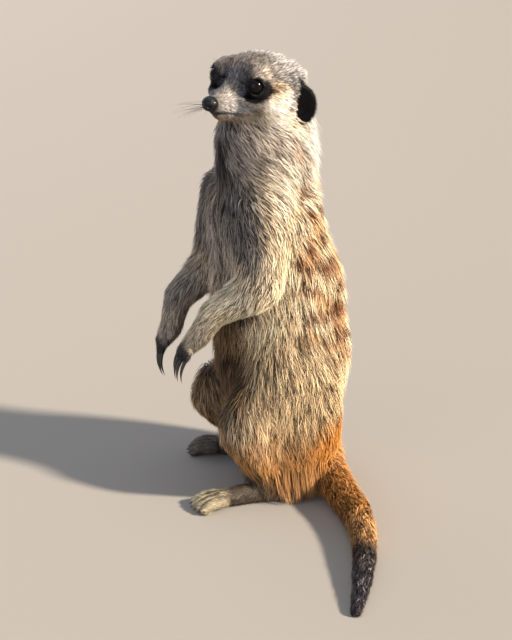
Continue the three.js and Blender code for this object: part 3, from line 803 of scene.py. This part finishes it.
# Wet cornea over a nearly black iris: the eye shows little but one small sharp glint.
wet = {"Roughness": 0.2, "Coat_Weight": 0.22, "Coat_Roughness": 0.03, "Specular_IOR_Level": 0.05}
eyeball, shader, tree = material("wet eye", **wet)
spot = node(tree, "Attribute", {"attribute_name": "eye_place"})
away = node(tree, "VectorMath", {"operation": "LENGTH"}, _0=spot.outputs["Vector"])
squeezed = node(tree, "VectorMath", {"operation": "DIVIDE"}, _0=spot.outputs["Vector"], _1=(*PUPIL, 1))
in_pupil = node(tree, "VectorMath", {"operation": "LENGTH"}, _0=squeezed.outputs["Vector"])
streaks = node(tree, "TexNoise", Vector=spot.outputs["Vector"], Scale=2.4, Detail=4.0)
iris = node(tree, "ValToRGB", Fac=streaks.outputs["Fac"])
iris.color_ramp.elements[0].color = (*linear("#060405"), 1)
iris.color_ramp.elements[1].color = (*linear("#160d0b"), 1)
pupil_edge = node(tree, "MapRange", _0=in_pupil.outputs["Value"], _1=0.92, _2=1.08).outputs[0]
iris_edge = node(tree, "MapRange", _0=away.outputs["Value"], _1=IRIS - 0.5, _2=IRIS + 0.1).outputs[0]
over = {"data_type": "RGBA"}
with_pupil = node(tree, "Mix", over, _0=pupil_edge, _6=(0.003, 0.003, 0.004, 1), _7=iris.outputs[0])
# Outside the iris the ball is nearly black with a blue tint: a painted reflection of the sky.
whole = node(tree, "Mix", over, _0=iris_edge, _6=with_pupil.outputs[2], _7=(*linear("#0a0d14"), 1))
tree.links.new(whole.outputs[2], shader.inputs["Base Color"])


def swept(rings):
    """Quads that join each ring of points to the next. The end rings are tiny, or lie in the skin."""
    count, sides = rings.shape[:2]
    i, j = np.meshgrid(np.arange(count - 1), np.arange(sides), indexing="ij")
    a, b = i * sides + j, i * sides + (j + 1) % sides
    return np.stack([a, a + sides, b + sides, b], -1).reshape(-1, 4)


for side, hand in (("left", 1), ("right", -1)):
    polar = np.radians([0.4, *np.linspace(3, 177, 60), 179.6])[:, None]
    round_it = np.radians(np.arange(0, 360, 360 / 64))[None, :]
    out = BALL_RADIUS + BULGE * np.exp(-((polar / 0.5) ** 2)) + 0 * round_it
    wide = out * np.sin(polar)
    ball = np.stack([wide * np.cos(round_it), wide * np.sin(round_it), out * np.cos(polar)], -1)
    places = EYE_AT + ball.reshape(-1, 3) @ EYE_AXES.T
    faces = swept(ball)[:, ::-1]
    if hand < 0:
        places, faces = places * [-1, 1, 1], faces[:, ::-1]
    eye = mesh_object("eye_ball_" + side, from_head(places), faces)
    layer = eye.data.attributes.new("eye_place", "FLOAT_VECTOR", "POINT")
    layer.data.foreach_set("vector", (ball.reshape(-1, 3) * [1, 1, 0]).astype(np.float32).ravel())
    eye.data.materials.append(eyeball)
    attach(eye, "root")
    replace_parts(eye, "eye_" + side)

# ---------------- nose
# Bare black leather, pebbled and a little damp, with comma-shaped nostrils and a cleft below. It is
# set into the end of the muzzle, and the short hair of the face comes up to its edge.

NOSE_AT = np.array([0, -47.5, -3.6])
NOSE_STEP = 0.36
pad = egg(NOSE_AT, (5.6, 5, 5))
nostril = egg((2.9, -52, -4), (1.5, 2.0, 1.2))
comma = limb([(3.4, -51.8, -4.3), (5.6, -49.2, -3.4)], [0.75, 0.4])
nostrils = both_sides(blend(0.5, nostril, comma))


def nose_at(p):
    q = to_head(p)
    cleft = 0.6 * np.exp(-((q[:, 0] / 0.4) ** 2)) * ramp(-q[:, 2], 4, 5.2) * ramp(-q[:, 1], 47, 49)
    dent = 0.3 * np.exp(-((q[:, 0] / 1.0) ** 2)) * ramp(q[:, 2], -3.5, -1)
    wedge = (np.abs(q[:, 0]) - 2.2 - 0.85 * (q[:, 2] + 8.6)) / 1.31  # narrower below
    return soft_max(soft_max(pad.at(q) + cleft + dent, wedge, 1.5), -nostrils.at(q), 0.5)


centre = from_head(NOSE_AT)
points, faces = net(nose_at, centre - 8, centre + 8, NOSE_STEP)
nose = mesh_object("nose_leather", points, faces)
# Damp pebbled leather: nearly black, with small broken highlights.
damp = {"Specular_IOR_Level": 0.2, "Coat_Weight": 0.25, "Coat_Roughness": 0.12}
leather, shader, tree = material("damp nose leather", Base_Color="#060507", Roughness=0.42, **damp)
pebbles = node(tree, "TexVoronoi", Scale=1600.0)
bump = node(tree, "Bump", Strength=0.35, Distance=0.0003, Height=pebbles.outputs["Distance"])
tree.links.new(bump.outputs["Normal"], shader.inputs["Normal"])
nose.data.materials.append(leather)
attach(nose, "root")
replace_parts(nose, "nose")

# ---------------- claws
# Solid horn, nearly black and a little worn at the tips: long diggers on the hands, short on the
# feet. Each is rooted in the end of its own toe and curves down from it.

FORE_CLAW = {"length": 20, "radius": 1.6, "bend": 55, "drop": 8, "sunk": 2.5}
HIND_CLAW = {"length": 8, "radius": 1.4, "bend": 30, "drop": 0, "sunk": 2}
HORN, WORN_HORN = linear("#2b2628"), linear("#5d5148")
# Polished horn with fine fibres along it: a narrow soft highlight down a nearly black claw.
horn, shader, tree = material("dark horn", Roughness=0.38, Specular_IOR_Level=0.55)
tone = node(tree, "Attribute", {"attribute_name": "coat_colour"})
fibres = node(tree, "TexNoise", Scale=900.0, Detail=3.0)
worn = node(tree, "Mix", multiply, _0=0.6, _6=tone.outputs["Color"], _7=fibres.outputs["Color"])
tree.links.new(worn.outputs[2], shader.inputs["Base Color"])
bump = node(tree, "Bump", Strength=0.25, Distance=0.0002, Height=fibres.outputs["Fac"])
tree.links.new(bump.outputs["Normal"], shader.inputs["Normal"])


def claw(name, origin, turned, tip, length, radius, bend, drop, sunk):
    """A curved, tapered rod, from inside the end of a toe; bend and drop are in degrees."""
    t = np.linspace(0, 1, 18)[:, None]
    round_it = np.radians(np.arange(0, 360, 22.5))[None, :]
    size = np.maximum(radius * (1 - t**1.7), 0.03)
    x, z = size * np.sin(round_it), size * np.cos(round_it)
    z = np.where(z < 0, 0.8 * z, z)  # the underside is flatter
    curl = length / np.radians(bend)
    angle = t * length / curl
    ring = np.stack([0.8 * x, -(curl + z) * np.sin(angle), (curl + z) * np.cos(angle) - curl], -1)
    ring = np.concatenate([ring[:1] * 0 + ring[:1].mean(1, keepdims=True), ring])
    local = tip + [0, sunk, 0] + ring.reshape(-1, 3) @ axes(0, drop).T
    made = mesh_object(name, origin + local @ turned.T, swept(ring))
    shade = np.repeat(np.concatenate([[0], t[:, 0]]), ring.shape[1])
    give_colour(made, HORN + (WORN_HORN - HORN) * ramp(shade, 0.55, 1.0)[:, None])
    made.data.materials.append(horn)
    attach(made, "root")
    return made


for side, (*_, heel, splay) in LEGS.items():
    *_, wrist, hand = ARMS[side]
    for i, (finger, toe) in enumerate(zip(finger_tips, toe_tips)):
        for kind, place, turned, tip, shape in (
            ("fore", wrist, hand, finger, FORE_CLAW),
            ("hind", heel, splay, toe, HIND_CLAW),
        ):
            node_name = f"{kind}_claw_{side}_{i + 1}"
            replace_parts(claw("horn_" + node_name, place, turned, tip, **shape), node_name)


# ---------------- coat
# Long guard hairs over a shorter, darker underfur, in fine locks. Each lock is a closed three-sided
# spike that leaves the skin at a low angle and lies along the body, and locks gather at their tips.

rng = np.random.default_rng(7)
PATCH = 0.003  # how wide and high a lock's patch is on the unwrapped skin
ROOT_DEPTH, BROADEST = 0.5, 0.4  # how deep a root sits, and how far along a lock is broadest
GUARD_LIGHT, UNDERFUR_LIGHT, DARK_LIGHT = (0.75, 1.3), (0.3, 0.62), (0.12, 0.35)
BLADE = np.array([(0, 1, 2), (0, 2, 3), (0, 3, 1), (1, 4, 2), (2, 4, 3), (3, 4, 1)])
SPIKE = np.array([(0, 1, 2), (0, 3, 1), (1, 3, 2), (2, 3, 0)])
# The faces again on the unwrap, corner by corner: the three sides lie side by side.
BLADE_PATCH = [
    [(1.5, 0), (1, 0.4), (2, 0.4)], [(0.5, 0), (0, 0.4), (1, 0.4)], [(2.5, 0), (2, 0.4), (3, 0.4)],
    [(1, 0.4), (1.5, 1), (2, 0.4)], [(0, 0.4), (0.5, 1), (1, 0.4)], [(2, 0.4), (2.5, 1), (3, 0.4)],
]
SPIKE_PATCH = [
    [(0, 0), (1.5, 0.1), (3, 0)], [(0, 0.15), (0.5, 1), (1, 0.15)],
    [(1, 0.15), (1.5, 1), (2, 0.15)], [(2, 0.15), (2.5, 1), (3, 0.15)],
]

points = points_of(skin)
skin.data.calc_loop_triangles()
corners = np.empty(3 * len(skin.data.loop_triangles), np.int32)
skin.data.loop_triangles.foreach_get("vertices", corners)
triangles = corners.reshape(-1, 3)
first, second, third = points[triangles].transpose(1, 0, 2)
areas = np.linalg.norm(np.cross(second - first, third - first), axis=1) / 2
centres = points[triangles].mean(1)
centre_head = to_head(centres)
owner = np.array(NAMES)[own_distances(centres).argmin(1)]
from_ear = ear_at(centre_head)
in_eye = np.linalg.norm(fold(centre_head) - EYE_AT, axis=1) < BALL_RADIUS + 0.6
in_nose = np.linalg.norm((centre_head - NOSE_AT) / [6.4, 5.6, 5.6], axis=1) < 1
beneath = centres[:, 2] < SOLE_GAP + 0.35
CHARTS = {"head": (from_head([0, -56, -6]), from_head([0, 32, -6])), "trunk": ((0, 0, 0), (1, -10, 230))}
CHARTS["neck"] = ((2, -10, 200), (1, -11, 262))
for side, (sign, knee, ankle, heel, splay) in LEGS.items():
    shoulder, elbow, _, wrist, hand = ARMS[side]
    CHARTS["thigh_" + side] = ((sign * 31, 2, 0), (sign * 31, 2, 110))
    CHARTS["shank_" + side] = (knee, ankle)
    CHARTS["hind_foot_" + side] = (heel + splay @ [0, 12, 0], heel + splay @ [0, -70, -4])
    CHARTS["upper_arm_" + side] = (shoulder, elbow)
    CHARTS["forearm_" + side] = (elbow, wrist)
    CHARTS["forepaw_" + side] = (wrist, wrist + hand @ [0, -20, 0])
for name, span in TAIL_SPANS.items():
    CHARTS[name] = (TAIL[span][0], TAIL[span + 3][0])


def scatter(where, count):
    """Roots spread evenly over the chosen triangles of the skin."""
    weight = np.cumsum(areas * where)
    spots = (np.arange(count) + rng.random(count)) / count * weight[-1]
    face = triangles[np.searchsorted(weight, spots)]
    a, b = np.sqrt(rng.random(count)), rng.random(count)
    mix = np.column_stack([1 - a, a * (1 - b), a * b])
    return (points[face] * mix[:, :, None]).sum(1)


def unwrapped(p):
    """Places on the skin unrolled, each part round its own length and the parts side by side."""
    part = own_distances(p).argmin(1)
    held = np.unique(part)
    out = np.zeros((len(p), 2))
    for place, index in enumerate(held):
        start, end = np.array(CHARTS[NAMES[index]], float)
        along = unit(end - start)
        side = unit(np.cross(along, [0.31, 0.95, 0.02]))
        mine = part == index
        from_start = p[mine] - start
        turn = np.arctan2(from_start @ np.cross(along, side), from_start @ side)
        chart = np.column_stack([turn, from_start @ along])
        chart = (chart - chart.min(0)) / np.ptp(chart, axis=0)
        out[mine] = (chart * [0.99 / len(held) - PATCH, 1 - PATCH]) + [place / len(held), 0]
    return out


def along_limb(p, places):
    """The way down a limb or the tail, from the spans nearest to each point."""
    places = np.array(places, float)
    total, weight = np.zeros((len(p), 3)), 0
    for start, end in zip(places, places[1:]):
        way = end - start
        t = np.clip((p - start) @ way / (way @ way), 0, 1)
        away = np.linalg.norm(p - start - t[:, None] * way, axis=1)
        near = np.exp(-away / 4)[:, None] + 1e-9
        total, weight = total + near * unit(way), weight + near
    return total / weight


def lie(p, up):
    """The way the coat lies along the skin: from the nose back, down the body, out to the toes."""
    share = shares(own_distances(p), 4.0)
    q = to_head(p)
    x, y, z = p.T
    out = np.zeros((len(p), 3))

    def add(part, way):
        out[:] += share[:, NAMES.index(part)][:, None] * way

    sideways = np.abs(q[:, 0])
    droop = -0.5 * ramp(sideways, 8, 20) * ramp(-q[:, 2], -8, 6)
    face = unit(q - [0, -58, 4]) + np.column_stack([0 * z, 0 * z, droop])
    from_eye = fold(q) - EYE_AT
    near_eye = np.exp(-((np.linalg.norm(from_eye, axis=1) / 10) ** 2))[:, None]
    radial = unit(from_eye)
    face = face + 0.9 * near_eye * radial * np.column_stack([np.sign(q[:, 0]), 1 + 0 * z, 1 + 0 * z])
    near_ear = (1 - ramp(ear_at(q), 0.3, 2.5))[:, None]
    e = ear_local(q)
    fan = np.column_stack([e[:, 0], 0 * z - 1, e[:, 2]]) / 8 @ axes(EAR_SWEEP).T
    fan = fan * np.column_stack([np.where(q[:, 0] < 0, -1, 1), 1 + 0 * z, 1 + 0 * z])
    face = face + near_ear * (fan - face)
    add("head", face @ HEAD_AXES.T)
    back = 0.1 + 0.95 * ramp(z, 168, 196) * (1 - 0.35 * ramp(z, 225, 245))
    down = np.column_stack([0.25 * np.sign(x) * ramp(-y, 20, 40), back, -1 + 0 * z])
    add("trunk", down)
    add("neck", down)
    for side, (*_, splay) in LEGS.items():
        shoulder, elbow, middle, wrist, hand = ARMS[side]
        add("thigh_" + side, np.column_stack([0 * x, 0.1 + 0.3 * ramp(-y, 10, 40), -1 + 0 * z]))
        add("shank_" + side, np.array([0, 0.35, -1]))
        add("hind_foot_" + side, splay @ [0, -1, -0.15])
        add("upper_arm_" + side, along_limb(p, [shoulder, elbow]) + [0, 0.5, 0] * ramp(z, 165, 195)[:, None])
        add("forearm_" + side, along_limb(p, [elbow, middle, wrist]) + [0, 0.1, -0.35])
        add("forepaw_" + side, hand @ [0, -1, -0.1])
    for name in TAIL_SPANS:
        add(name, along_limb(p, [place for place, _ in TAIL]))
    swirl = 0.26 * np.column_stack([ripple(p, 32, seed) for seed in (21, 22, 23)])
    swirl += 0.1 * np.column_stack([ripple(p, 8, seed) for seed in (24, 25, 26)])
    out += swirl * np.linalg.norm(out, axis=1)[:, None]
    out -= (out * up).sum(1)[:, None] * up
    return out / np.maximum(np.linalg.norm(out, axis=1), 1e-6)[:, None]


# Dry hair: a soft sheen along the locks, and no sharp glint.
fur, shader, tree = material("guard hair", Roughness=0.5, Specular_IOR_Level=0.2)
tone = node(tree, "Attribute", {"attribute_name": "coat_colour"})
tree.links.new(tone.outputs["Color"], shader.inputs["Base Color"])


def coat(
    name, slot, where, count, length, width, stand=0.0, short=False, gather=1.6, guards=0.4, hang=0.0
):
    """One piece of the coat: so many locks, of a length and width in mm, on part of the skin.

    Short locks are plain spikes. Stand is how far they rise, gather how far their tips draw
    together, guards the share that are guard hairs, and hang how freely they fall. Length and stand
    may be worked out from the place.
    """
    root = scatter(where, count)
    _, up = height_and_normal(root)
    q = to_head(root)
    share = shares(own_distances(root), 4.0)
    depth = coat_depth(q, share)
    way = lie(root, up)
    way = unit(way + np.cross(up, way) * (0.14 * rng.normal(size=count))[:, None])
    side = np.cross(up, way)
    guard = rng.random(count) < guards
    size = (length(root, q) if callable(length) else length) * rng.uniform(0.7, 1.25, count)
    size = size * np.where(guard, 1.12, 0.8)
    wide = width * rng.uniform(0.7, 1.3, count) * np.where(guard, 0.9, 1.2)
    upright = part_share(share, "trunk", "neck", "thigh")[:, None]
    grain = np.hstack([np.ones((count, 2)), 1 - 0.75 * upright])  # locks are long, down the body
    lock, rise = ripple(root * grain, 4.2, 31, slope=True)
    pull = (rise * side).sum(1)[:, None] * side
    pull /= np.maximum(np.linalg.norm(pull, axis=1), 0.4)[:, None]
    tall = np.where(guard, rng.uniform(0.85, 1.2, count), rng.uniform(0.4, 0.75, count))
    tall = tall * (1 + 0.2 * lock) * depth
    standing = (stand(root, q) if callable(stand) else stand) * rng.random(count) ** 3
    tall = np.maximum(tall, 0.35 * depth) + standing * size * 0.4

    def ring(place, up, side):
        """The three corners of a lock at one place along it."""
        half = side * (wide / 2)[:, None]
        crest = up * (wide * 0.4)[:, None]
        return np.stack([place - half, place + crest, place + half], 1)

    base = root - ROOT_DEPTH * up
    if short:
        tip = settle(root + way * size[:, None], tall, passes=1, most=6)
        spots = np.concatenate([ring(base, up, side), tip[:, None]], 1)
        sides, patch, banding_and_shade = SPIKE, SPIKE_PATCH, np.array([0.35, 0.5, 0.35, 1.4])
        rounded = np.array([-0.6, 0, 0.6, 0])
    else:
        mid = settle(root + way * (BROADEST * size)[:, None], tall * 0.66, passes=1, most=8)
        _, mid_up = height_and_normal(mid)
        bend = unit(way - (way * mid_up).sum(1)[:, None] * mid_up)
        tip = mid + bend * ((1 - BROADEST) * size)[:, None] + gather * pull
        tip = settle(tip, tall, passes=1, most=8)
        free = up * [1, 1, 0] * 0.42 + [0, 0, -0.9]  # how a hanging lock falls clear of the body
        mid = mid + hang * (root + free * (BROADEST * size)[:, None] - mid)
        tip = tip + hang * (root + free * size[:, None] - tip)
        middle = ring(mid, mid_up, np.cross(mid_up, bend))
        spots = np.concatenate([base[:, None], middle, tip[:, None]], 1)
        sides, patch, banding_and_shade = BLADE, BLADE_PATCH, np.array([0.2, 0.65, 0.85, 0.65, 1.35])
        rounded = np.array([0, -0.6, 0, 0.6, 0])
    spots[:, :, 2] = np.maximum(spots[:, :, 2], 0.05)

    colour, ticking = markings(root if slot == "black_coat" else tip)
    dark = rng.random(count) < ticking
    light = np.where(guard, rng.uniform(*GUARD_LIGHT, count), rng.uniform(*UNDERFUR_LIGHT, count))
    on_head = part_share(share, "head")
    fleck = 0.22 * (1 - on_head) * ripple(tip, 1.8, 33) + 0.65 * on_head * ripple(tip, 1.2, 34)
    shade = np.where(dark, rng.uniform(*DARK_LIGHT, count), light)
    shade = shade * (1 + 0.38 * lock + fleck)
    # Along each lock the colour runs dark at the root, partly the hair's darker base and partly painted
    # shade deep in the coat; the crest is painted lighter than the sides, as painted light on the lock's
    # top; the tip is pale.
    tint = (colour * shade[:, None])[:, None] * banding_and_shade[None, :, None]
    corners = spots.shape[1]
    faces = (np.arange(count)[:, None, None] * corners + sides).reshape(-1, 3)
    made = mesh_object(name, spots.reshape(-1, 3), faces)
    give_colour(made, np.clip(tint, 0.003, 0.9).reshape(-1, 3))
    facing = unit(up[:, None] + rounded[:, None] * side[:, None])  # locks take light as one soft coat
    made.data.normals_split_custom_set_from_vertices(facing.reshape(-1, 3))
    patches = unwrapped(root)[:, None, None] + np.array(patch) * [PATCH / 3, PATCH]
    made.data.uv_layers.new(name="OFBake").uv.foreach_set("vector", patches.astype(np.float32).ravel())
    made.data.materials.append(fur)
    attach(made, "root")
    return made


def on(*starts):
    """The haired triangles of the parts whose names start so."""
    named = np.array([name.startswith(starts) for name in owner])
    return named & (from_ear > 1.2) & ~in_eye & ~in_nose & ~beneath


face = on("head") & (centre_head[:, 1] < -20 + 10 * ramp(-centre_head[:, 2], -6, 2))
cape = on("head") & ~face
front = centres[:, 1] < -8
hem = on("thigh", "trunk") & (centres[:, 2] > 9) & (centres[:, 2] < 34) & (centres[:, 1] > -22)


def face_length(p, q):
    """Shortest at the nose."""
    return 2.6 + 2.4 * ramp(q[:, 1], -40, -8)


def nape_stand(p, q):
    """How far the locks of the neck stand out: most at the nape."""
    return 0.1 + 0.9 * ramp(p[:, 1], -4, 12)


def cape_length(p, q):
    """Short on the crown, longer under the ear, and short again round the ear itself."""
    return (3.6 + 4.4 * ramp(-q[:, 2], 4, 22)) * (0.4 + 0.6 * ramp(ear_at(q), 1, 7))


coat("coat_face", "pale_coat", face, 34000, face_length, 0.42, short=True)
coat("coat_head", "pale_coat", cape, 30000, cape_length, 0.42, gather=0.5)
coat("coat_neck", "pale_coat", on("neck"), 25000, 12, 0.52, stand=nape_stand)
coat("coat_chest", "buff_coat", on("trunk") & front, 20000, 15, 0.55)
coat("coat_back", "buff_coat", on("trunk") & ~front, 32500, 15, 0.55, stand=0.3)
coat("coat_haunches", "buff_coat", on("thigh"), 32000, 15, 0.55)
coat("coat_shanks", "buff_coat", on("shank"), 8000, 9, 0.6)
coat("coat_upper_arms", "buff_coat", on("upper"), 14000, 11, 0.6)
coat("coat_forearms", "buff_coat", on("forearm"), 14000, 8, 0.42, gather=0.8)
coat("coat_forepaws", "pale_coat", on("forepaw"), 9000, 3, 0.36, short=True)
coat("coat_feet", "pale_coat", on("hind"), 14000, 3.2, 0.4, short=True)
coat("coat_tail", "rust_coat", on("tail"), 17000, 9, 0.56, gather=0.8, stand=0.2)
coat("coat_hem", "rust_coat", hem, 3600, 21, 0.7, guards=1.0, hang=0.7)
coat("coat_ears", "black_coat", (from_ear < 1.2) & ~in_eye, 7000, 2.4, 0.4, short=True)

# ---------------- whiskers
# Stiff dark hairs on the muzzle pads, over the eyes and on the cheeks. Each is a fine tapered rod
# that leaves the skin forward and sideways and bends back and down under its own weight.

WHISKER_RADIUS = 0.12
WHISKERS = [  # root and way in the head's frame, on the left, length, how many, and how far they spread
    ((6.5, -39, -8), (0.8, -0.45, -0.1), 26, 14, (1.6, 3.6, 2.2)),
    ((9.5, -25, 13), (0.45, -0.55, 0.65), 13, 6, (2.6, 1.5, 0.8)),
    ((17, -23, -13), (0.7, -0.2, -0.5), 17, 3, (1, 3, 1)),
    ((2, -33, -19), (0.2, -0.4, -0.8), 9, 4, (2, 3, 1)),
]
rings = []
for root, way, length, count, spread in WHISKERS:
    for hand in (1, -1):
        for _ in range(count):
            start = from_head((np.array(root) + rng.uniform(-1, 1, 3) * spread) * [hand, 1, 1])
            start = settle(start[None], -0.4, passes=4)[0]
            lean = np.array(way) + rng.uniform(-0.22, 0.22, 3)
            lean = (unit(lean) * [hand, 1, 1]) @ HEAD_AXES.T
            reach = length * rng.uniform(0.7, 1.25)
            sag = HEAD_AXES @ [0, 0.35, -0.3] * reach * rng.uniform(0.4, 1)
            t = np.linspace(0, 1, 10)[:, None]
            line = start + lean * reach * t + sag * t * t
            across = unit(np.cross(lean, [0, 0, 1]))
            over = np.cross(across, lean)
            turn = np.radians([0, 90, 180, 270])[None, :, None]
            thick = WHISKER_RADIUS * (1.02 - t[:, :, None]) ** 0.8
            rings.append(line[:, None] + thick * (np.cos(turn) * across + np.sin(turn) * over))
faces = np.concatenate([swept(ring) + i * ring[..., 0].size for i, ring in enumerate(rings)])
whiskers = mesh_object("whiskers", np.concatenate(rings).reshape(-1, 3), faces)
# Stiff keratin, dark and worn paler in patches: a fine smooth line with a faint shine.
bristle, shader, tree = material("whisker", Roughness=0.35)
wear = node(tree, "TexNoise", Scale=500.0, Detail=2.0)
tone = node(tree, "ValToRGB", Fac=wear.outputs["Fac"])
tone.color_ramp.elements[0].color = (*linear("#1a1614"), 1)
tone.color_ramp.elements[1].color = (*linear("#6a6058"), 1)
tree.links.new(tone.outputs["Color"], shader.inputs["Base Color"])
whiskers.data.materials.append(bristle)
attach(whiskers, "root")
